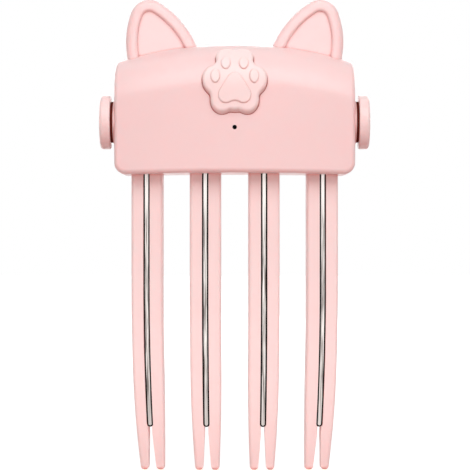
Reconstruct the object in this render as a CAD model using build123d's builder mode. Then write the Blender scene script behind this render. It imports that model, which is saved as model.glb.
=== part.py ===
"""Volumizing hair iron: a cordless heated comb with cat ears, a paw button and four forked teeth.

Millimetres. +X is to the right of the front face, +Y runs from the front to the back, +Z is up.
The tips of the teeth stand on z = 0, and the origin is under the middle of the whole comb.
"""

import os
from math import asin, cos, degrees, radians, sin, sqrt

from build123d import *

os.makedirs("parts", exist_ok=True)

# Housing
housing_width = 77.0
housing_depth = 26.0
housing_height = 41.9
wall = 2.2
bow_radius = 200.0
crown_radius = 141.5
underside_sag = 0.5
front_roll = 14.5
back_roll = 7.0
lower_corner = 3.8
edge_round = 1.6
cover_depth = 6.6
lip_height = 1.2
lip_thickness = 0.9
lip_gap = 0.1

# Ears, moulded on the front shell
ear_seam_gap = 0.4
ear_thickness = 7.2
ear_end_margin = 5.0
ear_width = 23.5
ear_outer_bulge = 1.3
ear_inner_curve = 5.9
ear_mid_rise = 5.8
ear_peak_inset = 3.1
ear_peak_rise = 16.5
ear_root_depth = 9.0
ear_tip_round = 6.3
ear_rim = 3.8
ear_recess = 1.3
ear_outer_round = 2.1
ear_recess_wall = 0.3

# Paw button
paw_tilt = 27.0
paw_drop = 4.2
paw_relief = 2.0
paw_edge_round = 1.2
pad_relief = 0.6
pad_round = 0.5
outward_cosine = 0.7
paw_travel = 0.6
paw_gap = 0.2
paw_notch_round = 1.8
paw_lip = 0.8
paw_lip_thickness = 1.2
paw_seat_gap = 0.3
stem_diameter = 4.0
middle_lobe_x = 2.4
middle_lobe_y = 6.7
middle_lobe_radius = 3.6
side_lobe_x = 5.6
side_lobe_y = -0.6
side_lobe_radius = 4.7
heel_lobe_x = 3.9
heel_lobe_y = -6.5
heel_lobe_radius = 3.8
heel_y = -4.6
heel_radius = 5.2
palm_y = 1.5
palm_radius = 5.0
bean_width = 3.0
bean_height = 4.4
middle_bean_x = 2.85
middle_bean_y = 4.0
side_bean_x = 6.15
side_bean_y = -0.3
pad_top_y = -1.6
pad_lobe_x = 2.9
pad_lobe_y = -5.9
pad_lobe_radius = 2.3
pad_dip_y = -11.2
pad_dip_radius = 3.6
pad_dip_round = 0.8

# Forked teeth
fork_count = 4
fork_length = 96.9
fork_width = 10.0
fork_root_thickness = 5.5
fork_tip_thickness = 3.0
fork_round = 1.1
fork_end_margin = 5.4
fork_bow_radius = 280.0
fork_seam_setback = 9.0
fork_sweep = 12.0
fork_curve_start = 62.0
fork_taper_start = 36.0
fork_taper = 1.0
tip_spread = 5.3
tip_width = 2.8
tip_length = 1.5
tip_gap = 1.2
tip_gap_start = 12.5
slot_width = 2.1
slot_end_z = 14.6
flange_margin = 1.1
flange_thickness = 1.6
fork_gap = 0.12

# Heating strips and their liners
strip_width = 1.05
strip_recess = 0.35
liner_recess = 0.8
liner_gap = 0.02

# Carrier, heat spreader and heater
carrier_thickness = 2.8
carrier_depth = 9.0
carrier_end_gap = 2.1
spreader_thickness = 1.6
spreader_depth = 7.0
spreader_end_margin = 0.8
bar_corner = 1.0
heater_length = 28.0
heater_depth = 5.0
heater_thickness = 1.8
fuse_length = 8.0
fuse_end_margin = 0.3
fuse_round = 0.4
insulation_thickness = 0.5
insulation_depth = 7.0
insulation_boss_gap = 1.5
floor_boss_diameter = 3.8
carrier_screw_bite = 2.8

# Knobs at the two ends
knob_height = 16.6
knob_diameter = 17.4
knob_thickness = 3.7
knob_crown = 0.45
knob_face_round = 1.0
knob_back_round = 0.4
knob_gap = 0.8
collar_diameter = 13.9
collar_height = 0.6
collar_round = 0.25
collar_seam_gap = 0.65
bush_outer = 8.0
bush_bore = 5.1
bush_length = 7.5
bush_stand = 0.3
bush_boss = 12.0
bush_boss_length = 4.0
bush_gap = 0.02
shaft_gap = 0.05
end_play = 0.05
hub_diameter = 9.0
washer_diameter = 7.8
washer_thickness = 0.6
knob_screw_length = 6.0

# Electronics and battery
board_depth = 11.0
board_post_gap = 2.5
board_above = 5.5
board_led_margin = 0.6
board_thickness = 1.2
board_screw_end = 3.0
board_screw_edge = 2.8
board_screw_bite = 3.2
board_post = 4.0
switch_size = 6.0
switch_height = 3.1
plunger_diameter = 3.4
plunger_stand = 1.0
plunger_depth = 1.0
plunger_gap = 0.1
light_drop = 27.5
light_diameter = 1.4
light_gap = 0.02
light_recess = 0.1
led_size = 1.6
led_height = 0.7
led_gap = 0.3
pipe_clearance = 0.9
battery_post_gap = 2.5
battery_port_gap = 0.8
battery_thickness = 6.5
battery_round = 2.0
battery_above_floor = 13.9
foam_thickness = 0.4
foam_margin = 3.0
port_width = 8.94
port_thickness = 3.2
port_length = 7.3
port_wall = 0.3
port_mouth_depth = 6.2
port_tongue_width = 6.7
port_tongue_thickness = 0.7
port_tongue_length = 4.4
port_sink = 0.6
port_gap = 0.15
charge_board_width = 14.0
charge_board_height = 5.0
charge_board_thickness = 1.0

# Screws and their posts
post_diameter = 5.0
screw_diameter = 2.0
screw_head = 3.8
screw_head_height = 1.3
screw_head_round = 0.4
screw_spare = 0.3
screw_gap = 0.15
thread_gap = 0.03
drive_diameter = 1.5
drive_depth = 0.8
counterbore_gap = 0.3
counterbore_depth = 2.4
cover_screw_bite = 5.8
lower_post_margin = 13.5
lower_post_rise = 16.2
upper_post_margin = 8.5
upper_post_drop = 9.6

# Planes and heights that the pieces share
half_width = housing_width / 2
floor_z = fork_length
crown_z = floor_z + housing_height
back_y = (housing_depth + paw_relief + pad_relief) / 2
front_y = back_y - housing_depth
split_y = back_y - cover_depth
inner_floor = floor_z + wall
carrier_z = inner_floor + flange_thickness
spreader_z = carrier_z + carrier_thickness
heater_z = spreader_z + spreader_thickness
insulation_z = heater_z + heater_thickness
carrier_reach = half_width - wall - carrier_end_gap
spreader_reach = carrier_reach - spreader_end_margin
insulation_reach = half_width - wall - bush_boss_length - insulation_boss_gap
fuse_x = insulation_reach - fuse_end_margin - fuse_length / 2
knob_y = split_y - collar_diameter / 2 - collar_seam_gap
knob_z = floor_z + knob_height
knob_axis = Axis((0, knob_y, knob_z), (1, 0, 0))
knob_plane = Plane(origin=(0, knob_y, knob_z), x_dir=(1, 0, 0), z_dir=(0, -1, 0))
fork_bow_y = split_y - fork_seam_setback + fork_bow_radius
outer_fork_x = half_width - fork_end_margin - fork_width / 2
outer_fork_angle = degrees(asin(outer_fork_x / fork_bow_radius))
fork_step = 2 * outer_fork_angle / (fork_count - 1)
slot_centre_z = slot_end_z + slot_width / 2

# The paw button slides square to a plane that leans back with the rolled top of the housing
tilt = radians(paw_tilt)
paw_origin_y = front_y + front_roll - front_roll * cos(tilt) - paw_drop * sin(tilt)
paw_origin_z = crown_z - front_roll + front_roll * sin(tilt) - paw_drop * cos(tilt)
paw_plane = Plane(
    origin=(0, paw_origin_y, paw_origin_z), x_dir=(1, 0, 0), z_dir=(0, -cos(tilt), sin(tilt))
)
board_plane = paw_plane.offset(-board_depth)
board_back_plane = board_plane.offset(-board_thickness)
light_z = crown_z - light_drop
led_depth = board_depth - led_height
led_y = (light_z - paw_origin_z + led_depth * sin(tilt)) / cos(tilt)
plunger_tip_depth = board_depth - switch_height - plunger_stand

# Posts and screws, and the battery and board that fit between the lower posts
cover_head_y = back_y - counterbore_depth
lower_post_x = half_width - lower_post_margin
upper_post_x = half_width - upper_post_margin
cover_screw_places = [
    (side * x, z)
    for side in (-1, 1)
    for x, z in ((lower_post_x, floor_z + lower_post_rise), (upper_post_x, crown_z - upper_post_drop))
]
room_between_posts = 2 * lower_post_x - post_diameter
board_width = room_between_posts - 2 * board_post_gap
board_below = led_size / 4 + board_led_margin - led_y
board_screw_places = [
    (side * (board_width / 2 - board_screw_end), y)
    for side in (-1, 1)
    for y in (board_above - board_screw_edge, board_screw_edge - board_below)
]
port_top = crown_z - port_sink
battery_length = room_between_posts - 2 * battery_post_gap
battery_bottom = floor_z + battery_above_floor
battery_height = port_top - port_length - battery_port_gap - battery_bottom


def save(part, name):
    """Label a finished piece and write it as a STEP file."""
    part.label = name
    export_step(part, f"parts/{name}.step")
    print(f"{name}: {len(part.solids())} solid(s), {part.volume:.1f} mm3")


def bow_location(angle):
    """The place on the bow of the teeth at an angle in degrees, facing out along its radius."""
    turn = radians(angle)
    x = fork_bow_radius * sin(turn)
    y = fork_bow_y - fork_bow_radius * cos(turn)
    return Location((x, y, 0), (0, 0, angle))


fork_angles = [(index - (fork_count - 1) / 2) * fork_step for index in range(fork_count)]
carrier_screw_angles = [-fork_step, fork_step]


def housing_body(inset=0.0):
    """The closed housing form with every face moved inwards by the inset."""
    bow = bow_radius - inset
    side = half_width - inset
    low = floor_z + inset
    sag = underside_sag if inset <= 0 else 0
    crown = crown_radius - inset
    shoulder = crown_z - crown_radius + sqrt(crown**2 - side**2)
    front_corner = front_y + bow_radius - sqrt(bow**2 - side**2)
    with BuildPart() as body:
        with BuildSketch(Plane.XY.offset(low - wall)):
            with BuildLine():
                ThreePointArc((-side, front_corner), (0, front_y + inset), (side, front_corner))
                Polyline(
                    (side, front_corner),
                    (side, back_y - inset),
                    (-side, back_y - inset),
                    (-side, front_corner),
                )
            make_face()
        extrude(amount=2 * housing_height)
        with BuildSketch(Plane.XZ) as outline:
            with BuildLine():
                ThreePointArc((-side, shoulder), (0, crown_z - inset), (side, shoulder))
                Line((side, shoulder), (side, low - sag))
                if sag:
                    ThreePointArc((side, low - sag), (0, low), (-side, low - sag))
                else:
                    Line((side, low), (-side, low))
                Line((-side, low - sag), (-side, shoulder))
            make_face()
            if lower_corner > inset:
                fillet(outline.vertices().group_by(Axis.Y)[0], lower_corner - inset)
        extrude(amount=2 * housing_depth, both=True, mode=Mode.INTERSECT)
        roof = body.faces().sort_by(Axis.Z)[-1]
        fillet(roof.edges().sort_by(Axis.Y)[0], front_roll - inset)
        roof = body.faces().sort_by(Axis.Z)[-1]
        fillet(roof.edges().sort_by(Axis.Y)[-1], back_roll - inset)
        if edge_round > inset:
            end_face = body.faces().sort_by(Axis.X)[-1]
            fillet(end_face.edges().sort_by(Axis.Y)[0], edge_round - inset)
    return body.part


def slab(y_from, y_to):
    """A plate across the whole housing between two depths."""
    with BuildPart() as plate:
        with BuildSketch(Plane.XZ.offset(-y_from)):
            with Locations((0, (floor_z + crown_z) / 2)):
                Rectangle(2 * housing_width, 2 * housing_height)
        extrude(amount=y_from - y_to)
    return plate.part


outer = housing_body()
cavity = housing_body(wall)


def paw_outline(margin=0.0):
    """The lobed base of the paw, grown by a margin all round."""
    with BuildSketch() as outline:
        for side in (-1, 1):
            with Locations((side * middle_lobe_x, middle_lobe_y)):
                Circle(middle_lobe_radius + margin)
            with Locations((side * side_lobe_x, side_lobe_y)):
                Circle(side_lobe_radius + margin)
            with Locations((side * heel_lobe_x, heel_lobe_y)):
                Circle(heel_lobe_radius + margin)
        with Locations((0, heel_y)):
            Circle(heel_radius + margin)
        with Locations((0, palm_y)):
            Circle(palm_radius)
        fillet(outline.vertices(), paw_notch_round)
    return outline.sketch


def paw_prism(margin):
    """The paw outline carried through the housing wall along the press direction."""
    with BuildPart() as prism:
        with BuildSketch(paw_plane):
            add(paw_outline(margin))
        extrude(amount=front_roll, both=True)
    return prism.part


def pad_outline():
    """The large pad: a rounded triangle with a dip in its lower edge."""
    with BuildSketch() as outline:
        Polygon(
            (0, pad_top_y), (-pad_lobe_x, pad_lobe_y), (pad_lobe_x, pad_lobe_y), align=None
        )
        offset(amount=pad_lobe_radius)
        with Locations((0, pad_dip_y)):
            Circle(pad_dip_radius, mode=Mode.SUBTRACT)
        lower_corners = outline.vertices().group_by(Axis.Y)[0].sort_by(lambda vertex: abs(vertex.X))
        fillet(lower_corners[:2], pad_dip_round)
    return outline.sketch


def outward_rim(part):
    """The edges round the faces of a piece of the paw that look outwards."""
    outward = part.faces().filter_by(
        lambda face: face.normal_at().dot(paw_plane.z_dir) > outward_cosine
    )
    sides = [edge for face in outward for edge in face.edges()]
    return [edge for edge in sides if sum(edge.is_same(other) for other in sides) == 1]


def ear(side):
    """One ear with its rounded rim and flat recess; side is -1 for the left, 1 for the right."""
    outer_x = half_width - ear_end_margin
    inner_x = outer_x - ear_width
    mid_z = crown_z + ear_mid_rise
    peak = (side * (outer_x - ear_peak_inset), crown_z + ear_peak_rise)
    outer_root = (side * outer_x, crown_z - ear_root_depth)
    inner_root = (side * inner_x, crown_z - ear_root_depth)
    front_plane = Plane.XZ.offset(ear_thickness + ear_seam_gap - split_y)
    with BuildPart() as body:
        with BuildSketch(front_plane) as outline:
            with BuildLine():
                ThreePointArc(outer_root, (side * (outer_x + ear_outer_bulge), mid_z), peak)
                ThreePointArc(peak, (side * (inner_x + ear_inner_curve), mid_z), inner_root)
                Line(inner_root, outer_root)
            make_face()
            fillet(outline.vertices().sort_by(Axis.Y)[-1], ear_tip_round)
        extrude(amount=-ear_thickness)
        front_rim = body.faces().sort_by(Axis.Y)[0].edges().sort_by(Axis.Z)[1:]
        back_rim = body.faces().sort_by(Axis.Y)[-1].edges().sort_by(Axis.Z)[1:]
        fillet(front_rim + back_rim, ear_outer_round)
        with BuildSketch(front_plane):
            add(outline.sketch)
            offset(amount=-ear_rim, kind=Kind.INTERSECTION)
        extrude(amount=-ear_recess, mode=Mode.SUBTRACT)
        recess_rim = body.faces().sort_by(Axis.Y)[0].inner_wires()[0].edges()
        fillet(recess_rim, ear_recess - ear_recess_wall)
        add(cavity, mode=Mode.SUBTRACT)
    return body.part


def paw_pads():
    """The four toe beans and the large pad, standing a little above the cap."""
    with BuildPart() as pads:
        with BuildSketch(paw_plane):
            for side in (-1, 1):
                with Locations((side * middle_bean_x, middle_bean_y), (side * side_bean_x, side_bean_y)):
                    Ellipse(bean_width / 2, bean_height / 2)
            add(pad_outline())
        extrude(amount=front_roll, both=True)
        add(housing_body(-paw_relief - pad_relief), mode=Mode.INTERSECT)
        add(housing_body(-paw_relief / 2), mode=Mode.SUBTRACT)
        add(slab(knob_y, 2 * back_y), mode=Mode.SUBTRACT)
        fillet(outward_rim(pads), pad_round)
    return pads.part


def port_opening():
    """The rounded slot for the charging port, half in each shell."""
    width = port_width + 2 * port_gap
    depth = port_thickness + 2 * port_gap
    with BuildPart() as opening:
        with BuildSketch(Plane.XY.offset(crown_z + wall)):
            with Locations((0, split_y)):
                SlotOverall(width, depth)
        extrude(amount=-port_length - wall)
    return opening.part


def ring(outer_inset, inner_inset, y_from, y_to):
    """A ring that follows the housing wall between two insets and two depths."""
    with BuildPart() as band:
        add(housing_body(outer_inset))
        add(housing_body(inner_inset), mode=Mode.SUBTRACT)
        add(slab(-2 * back_y, y_from), mode=Mode.SUBTRACT)
        add(slab(y_to, 2 * back_y), mode=Mode.SUBTRACT)
    return band.part


def paw_lip_ring():
    """The lip of the paw button that stays behind the wall of the front shell."""
    with BuildPart() as lip:
        add(paw_prism(paw_lip))
        add(housing_body(wall + paw_seat_gap), mode=Mode.INTERSECT)
    return lip.part


# Front shell: the deep half of the housing with the ears, collars, posts and openings
with BuildPart() as posts:
    with BuildSketch(Plane.XZ.offset(-split_y)):
        with Locations(cover_screw_places):
            Circle(post_diameter / 2)
    extrude(amount=housing_depth)
    with BuildSketch(board_plane):
        with Locations(board_screw_places):
            Circle(board_post / 2)
    extrude(amount=housing_depth)
    with BuildSketch(Plane.XY.offset(inner_floor - wall / 2)):
        with Locations([bow_location(angle) for angle in carrier_screw_angles]):
            Circle(floor_boss_diameter / 2)
    extrude(amount=carrier_z - inner_floor + wall / 2)
    add(outer, mode=Mode.INTERSECT)

with BuildPart() as front_shell:
    add(outer)
    add(cavity, mode=Mode.SUBTRACT)
    add(slab(split_y, 2 * back_y), mode=Mode.SUBTRACT)
    add(posts.part)
    for side in (-1, 1):
        add(ear(side))
        collar_plane = Plane(origin=(side * half_width, knob_y, knob_z), z_dir=(side, 0, 0))
        with BuildSketch(collar_plane.offset(-wall / 2)):
            Circle(collar_diameter / 2)
        extrude(amount=wall / 2 + collar_height)
        fillet(front_shell.edges().sort_by(lambda edge: side * edge.center().X)[-1], collar_round)
        with BuildSketch(collar_plane.offset(-wall / 2)):
            Circle(bush_boss / 2)
        extrude(amount=-wall / 2 - bush_boss_length)
        with BuildSketch(collar_plane.offset(collar_height)):
            Circle(bush_outer / 2 + bush_gap)
        extrude(amount=-collar_height - 2 * wall - bush_boss_length, mode=Mode.SUBTRACT)
    add(paw_prism(paw_gap), mode=Mode.SUBTRACT)
    with BuildSketch(Plane.XZ.offset(-front_y)):
        with Locations((0, light_z)):
            Circle(light_diameter / 2 + light_gap)
    extrude(amount=2 * wall, both=True, mode=Mode.SUBTRACT)
    with BuildSketch(Plane.XY.offset(inner_floor)):
        with Locations([bow_location(angle) for angle in fork_angles]):
            RectangleRounded(
                fork_width + 2 * fork_gap, fork_root_thickness + 2 * fork_gap, fork_round + fork_gap
            )
    extrude(amount=-2 * wall, mode=Mode.SUBTRACT)
    add(port_opening(), mode=Mode.SUBTRACT)
    with BuildSketch(Plane.XZ.offset(-split_y)):
        with Locations(cover_screw_places):
            Circle(screw_diameter / 2 + thread_gap)
    extrude(amount=cover_screw_bite + screw_spare, mode=Mode.SUBTRACT)
    with BuildSketch(board_plane):
        with Locations(board_screw_places):
            Circle(screw_diameter / 2 + thread_gap)
    extrude(amount=board_screw_bite + screw_spare, mode=Mode.SUBTRACT)
    with BuildSketch(Plane.XY.offset(carrier_z)):
        with Locations([bow_location(angle) for angle in carrier_screw_angles]):
            Circle(screw_diameter / 2 + thread_gap)
    extrude(amount=-carrier_screw_bite - screw_spare, mode=Mode.SUBTRACT)
save(front_shell.part, "front_shell")

# Rear cover: the shallow half with a locating lip and the tubes of its four screws
with BuildPart() as rear_cover:
    add(outer)
    add(cavity, mode=Mode.SUBTRACT)
    with BuildSketch(Plane.XZ.offset(-split_y)):
        with Locations(cover_screw_places):
            Circle(post_diameter / 2)
    extrude(amount=-cover_depth + wall / 2)
    add(slab(-2 * back_y, split_y), mode=Mode.SUBTRACT)
    lip_inner = wall + lip_gap + lip_thickness
    add(ring(wall, lip_inner, split_y, split_y + lip_height))
    add(ring(wall + lip_gap, lip_inner, split_y - lip_height, split_y))
    add(port_opening(), mode=Mode.SUBTRACT)
    with BuildSketch(Plane.XZ.offset(-split_y)):
        with Locations(cover_screw_places):
            Circle(screw_diameter / 2 + screw_gap)
    extrude(amount=-cover_depth, mode=Mode.SUBTRACT)
    with BuildSketch(Plane.XZ.offset(-back_y)):
        with Locations(cover_screw_places):
            Circle(screw_head / 2 + counterbore_gap)
    extrude(amount=counterbore_depth, mode=Mode.SUBTRACT)
save(rear_cover.part, "rear_cover")

# Paw button: the lobed cap, its pads, the lip behind the shell wall and the stem to the switch
with BuildPart() as paw_button:
    add(paw_prism(0))
    add(housing_body(-paw_relief), mode=Mode.INTERSECT)
    add(slab(knob_y, 2 * back_y), mode=Mode.SUBTRACT)
    fillet(outward_rim(paw_button), paw_edge_round)
    add(paw_pads())
    add(paw_lip_ring())
    add(housing_body(wall + paw_seat_gap + paw_lip_thickness), mode=Mode.SUBTRACT)
    add(slab(knob_y, 2 * back_y), mode=Mode.SUBTRACT)
    with BuildSketch(paw_plane.offset(-plunger_tip_depth)):
        Circle(stem_diameter / 2)
    extrude(amount=plunger_tip_depth)
    with BuildSketch(Plane.XZ.offset(-front_y - wall)):
        with Locations((0, light_z)):
            Circle(light_diameter / 2 + pipe_clearance)
    extrude(amount=-front_roll, mode=Mode.SUBTRACT)
save(paw_button.part, "paw_button")


def fork_outline():
    """Half of the front view of a tooth: one tine, from its root to its rounded tip."""
    half_slot = slot_width / 2
    half_gap = tip_gap / 2
    tip_x = tip_spread / 2
    outer_tip = (tip_x + tip_width / 2, tip_length)
    inner_tip = (tip_x - tip_width / 2, tip_length)
    gap_top = slot_centre_z - sqrt(half_slot**2 - half_gap**2)
    slot_side = (half_slot * cos(radians(30)), slot_centre_z - half_slot * sin(radians(30)))
    with BuildSketch() as tine:
        with BuildLine():
            Line((half_slot, carrier_z), (fork_width / 2, carrier_z))
            edge = Line((fork_width / 2, carrier_z), (fork_width / 2, fork_taper_start))
            TangentArc(edge @ 1, outer_tip, tangent=edge % 1)
            ThreePointArc(outer_tip, (tip_x, 0), inner_tip)
            Line(inner_tip, (half_gap, tip_gap_start))
            Line((half_gap, tip_gap_start), (half_gap, gap_top))
            ThreePointArc((half_gap, gap_top), slot_side, (half_slot, slot_centre_z))
            Line((half_slot, slot_centre_z), (half_slot, carrier_z))
        make_face()
    return tine.sketch


def side_profile(inset, top):
    """The side view of a tooth, straight at its root and swept back to a rounded tip."""
    half_root = fork_root_thickness / 2 - inset
    half_tip = fork_tip_thickness / 2 - inset
    with BuildSketch() as profile:
        with BuildLine():
            front_edge = Line((-half_root, top), (-half_root, fork_curve_start))
            back_edge = Line((half_root, fork_curve_start), (half_root, top))
            front_tip = (fork_sweep - half_tip, fork_tip_thickness / 2)
            back_tip = (fork_sweep + half_tip, fork_tip_thickness / 2)
            TangentArc(front_edge @ 1, front_tip, tangent=front_edge % 1)
            ThreePointArc(front_tip, (fork_sweep, fork_tip_thickness / 2 - half_tip), back_tip)
            TangentArc(back_edge @ 0, back_tip, tangent=(0, -1))
            Line(back_edge @ 1, front_edge @ 0)
        make_face()
    return profile.sketch


def slot_outline(radius, top):
    """The front view of a slot with a rounded lower end, centred on a tooth."""
    with BuildSketch() as outline:
        with Locations((0, slot_centre_z)):
            Circle(radius)
        with Locations((0, (slot_centre_z + top) / 2)):
            Rectangle(2 * radius, top - slot_centre_z)
    return outline.sketch


# One tooth in its own place: x across, y along its radius, z up
with BuildPart() as fork_form:
    with BuildSketch(Plane.XZ):
        add(fork_outline())
        mirror(about=Plane.YZ)
    extrude(amount=housing_depth, both=True)
    with BuildSketch(Plane.YZ):
        add(side_profile(0, carrier_z))
    extrude(amount=fork_width, both=True, mode=Mode.INTERSECT)
    outer_sides = fork_form.edges().filter_by(
        lambda edge: abs(edge.center().X) > fork_width / 2 - fork_taper and edge.length > fork_width
    )
    fillet(outer_sides, fork_round)
    with BuildSketch(Plane.XY.offset(inner_floor)):
        RectangleRounded(
            fork_width + 2 * flange_margin, fork_root_thickness + 2 * flange_margin, bar_corner
        )
        Rectangle(slot_width, fork_root_thickness, mode=Mode.SUBTRACT)
    extrude(amount=flange_thickness)

# One heating strip: a blade as wide as the bright line in the slot, up to the heat spreader
with BuildPart() as strip_form:
    with BuildSketch(Plane.XZ):
        add(slot_outline(strip_width / 2, heater_z))
    extrude(amount=housing_depth, both=True)
    with BuildSketch(Plane.YZ):
        add(side_profile(strip_recess, heater_z))
    extrude(amount=fork_width, both=True, mode=Mode.INTERSECT)

# One liner: the dark sleeve between the strip and the walls of its slot
with BuildPart() as liner_form:
    with BuildSketch(Plane.XZ):
        add(slot_outline(slot_width / 2 - liner_gap, carrier_z))
        add(slot_outline(strip_width / 2 + liner_gap, carrier_z), mode=Mode.SUBTRACT)
    extrude(amount=housing_depth, both=True)
    with BuildSketch(Plane.YZ):
        add(side_profile(liner_recess, carrier_z))
    extrude(amount=fork_width, both=True, mode=Mode.INTERSECT)

for index, angle in enumerate(fork_angles):
    for name, form in (("fork", fork_form), ("heating_strip", strip_form), ("strip_liner", liner_form)):
        with BuildPart() as tooth_piece:
            with Locations(bow_location(angle)):
                add(form.part)
        save(tooth_piece.part, f"{name}_{index + 1}")


def bow_bar(height, thickness, depth, reach):
    """A bar that follows the bow of the teeth, its ends at a reach to each side."""
    front_radius = fork_bow_radius + depth / 2
    back_radius = fork_bow_radius - depth / 2
    turn = asin(reach / fork_bow_radius)
    front_end = (front_radius * sin(turn), fork_bow_y - front_radius * cos(turn))
    back_end = (back_radius * sin(turn), fork_bow_y - back_radius * cos(turn))
    with BuildPart() as bar:
        with BuildSketch(Plane.XY.offset(height)) as plan:
            with BuildLine():
                ThreePointArc((-front_end[0], front_end[1]), (0, fork_bow_y - front_radius), front_end)
                Line(front_end, back_end)
                ThreePointArc(back_end, (0, fork_bow_y - back_radius), (-back_end[0], back_end[1]))
                Line((-back_end[0], back_end[1]), (-front_end[0], front_end[1]))
            make_face()
            fillet(plan.vertices(), bar_corner)
        extrude(amount=thickness)
    return bar.part


def bar_openings(height, thickness):
    """The slots for the heating strips and the clearance holes for the screws through a bar."""
    strip_depth = fork_root_thickness - 2 * strip_recess
    with BuildPart() as openings:
        with BuildSketch(Plane.XY.offset(height)):
            with Locations([bow_location(angle) for angle in fork_angles]):
                Rectangle(strip_width + 2 * liner_gap, strip_depth + 2 * liner_gap)
            with Locations([bow_location(angle) for angle in carrier_screw_angles]):
                Circle(screw_diameter / 2 + screw_gap)
        extrude(amount=thickness)
    return openings.part


# Carrier bar: clamps the flanges of the teeth to the floor of the front shell
with BuildPart() as fork_carrier:
    add(bow_bar(carrier_z, carrier_thickness, carrier_depth, carrier_reach))
    add(bar_openings(carrier_z, carrier_thickness), mode=Mode.SUBTRACT)
save(fork_carrier.part, "fork_carrier")

# Heat spreader: the aluminium bar that takes heat to the four strips
with BuildPart() as heat_spreader:
    add(bow_bar(spreader_z, spreader_thickness, spreader_depth, spreader_reach))
    add(bar_openings(spreader_z, spreader_thickness), mode=Mode.SUBTRACT)
save(heat_spreader.part, "heat_spreader")

# PTC heater plate, centred on the part of the bow that it covers
heater_y = fork_bow_y - (fork_bow_radius + sqrt(fork_bow_radius**2 - (heater_length / 2) ** 2)) / 2
with BuildPart() as ptc_heater:
    with BuildSketch(Plane.XY.offset(heater_z)):
        with Locations((0, heater_y)):
            Rectangle(heater_length, heater_depth)
    extrude(amount=heater_thickness)
save(ptc_heater.part, "ptc_heater")

# Thermal fuse: a small can beside the heater plate
fuse_y = fork_bow_y - sqrt(fork_bow_radius**2 - fuse_x**2)
with BuildPart() as thermal_fuse:
    with BuildSketch(Plane(origin=(fuse_x, fuse_y, heater_z + heater_thickness / 2), z_dir=(1, 0, 0))):
        Circle(heater_thickness / 2)
    extrude(amount=fuse_length / 2, both=True)
    fillet(thermal_fuse.edges().filter_by(GeomType.CIRCLE), fuse_round)
save(thermal_fuse.part, "thermal_fuse")

# Insulation sheet over the heater and the fuse
with BuildPart() as insulation_sheet:
    add(bow_bar(insulation_z, insulation_thickness, insulation_depth, insulation_reach))
save(insulation_sheet.part, "insulation_sheet")


def save_screws(plane, places, length, name):
    """Write a group of pan-head screws: heads on a plane, shanks below it."""
    with BuildPart() as screws:
        with BuildSketch(plane):
            with Locations(places):
                Circle(screw_head / 2)
        extrude(amount=screw_head_height)
        rims = screws.edges().filter_by(
            lambda edge: plane.to_local_coords(edge.center()).Z > screw_head_height / 2
            and edge.geom_type == GeomType.CIRCLE
        )
        fillet(rims, screw_head_round)
        with BuildSketch(plane):
            with Locations(places):
                Circle(screw_diameter / 2)
        extrude(amount=-length)
        with BuildSketch(plane.offset(screw_head_height)):
            with Locations(places):
                RegularPolygon(drive_diameter / 2, 6)
        extrude(amount=-drive_depth, mode=Mode.SUBTRACT)
    save(screws.part, name)


carrier_places = [bow_location(angle).position for angle in carrier_screw_angles]
carrier_points = [(place.X, place.Y) for place in carrier_places]
carrier_screw_length = carrier_thickness + spreader_thickness + carrier_screw_bite
save_screws(Plane.XY.offset(heater_z), carrier_points, carrier_screw_length, "carrier_screws")
cover_head_plane = Plane(origin=(0, cover_head_y, 0), x_dir=(-1, 0, 0), z_dir=(0, 1, 0))
cover_points = [(-x, z) for x, z in cover_screw_places]
cover_screw_length = cover_depth - counterbore_depth + cover_screw_bite
save_screws(cover_head_plane, cover_points, cover_screw_length, "cover_screws")
board_head_plane = Plane(origin=board_back_plane.origin, x_dir=(1, 0, 0), z_dir=-board_back_plane.z_dir)
board_points = [(x, -y) for x, y in board_screw_places]
save_screws(board_head_plane, board_points, board_thickness + board_screw_bite, "board_screws")

# Control board, parallel to the plane in which the paw is pressed
with BuildPart() as control_board:
    with BuildSketch(board_plane) as board_face:
        with Locations((0, (board_above - board_below) / 2)):
            Rectangle(board_width, board_above + board_below)
        fillet(board_face.vertices(), bar_corner)
        with Locations(board_screw_places):
            Circle(screw_diameter / 2 + screw_gap, mode=Mode.SUBTRACT)
    extrude(amount=-board_thickness)
save(control_board.part, "control_board")

# Tact switch with a well for its plunger
with BuildPart() as tact_switch:
    with BuildSketch(board_plane):
        Rectangle(switch_size, switch_size)
    extrude(amount=switch_height)
    with BuildSketch(board_plane.offset(switch_height)):
        Circle(plunger_diameter / 2 + plunger_gap)
    extrude(amount=-plunger_depth - paw_travel - plunger_gap, mode=Mode.SUBTRACT)
save(tact_switch.part, "tact_switch")

# Plunger of the switch, pressed by the stem of the paw
with BuildPart() as switch_plunger:
    with BuildSketch(board_plane.offset(switch_height + plunger_stand)):
        Circle(plunger_diameter / 2)
    extrude(amount=-plunger_stand - plunger_depth)
save(switch_plunger.part, "switch_plunger")

# Status LED on the board
with BuildPart() as status_led:
    with BuildSketch(board_plane):
        with Locations((0, led_y)):
            Rectangle(led_size, led_size / 2)
    extrude(amount=led_height)
save(status_led.part, "status_led")

# Light pipe: its end is the dark dot under the paw
led_front_y = paw_origin_y + (led_y - led_size / 4) * sin(tilt) + led_depth * cos(tilt)
pipe_front_y = front_y + light_recess
with BuildPart() as light_pipe:
    with BuildSketch(Plane.XZ.offset(-pipe_front_y)):
        with Locations((0, light_z)):
            Circle(light_diameter / 2)
    extrude(amount=pipe_front_y + led_gap - led_front_y)
save(light_pipe.part, "light_pipe")

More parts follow.
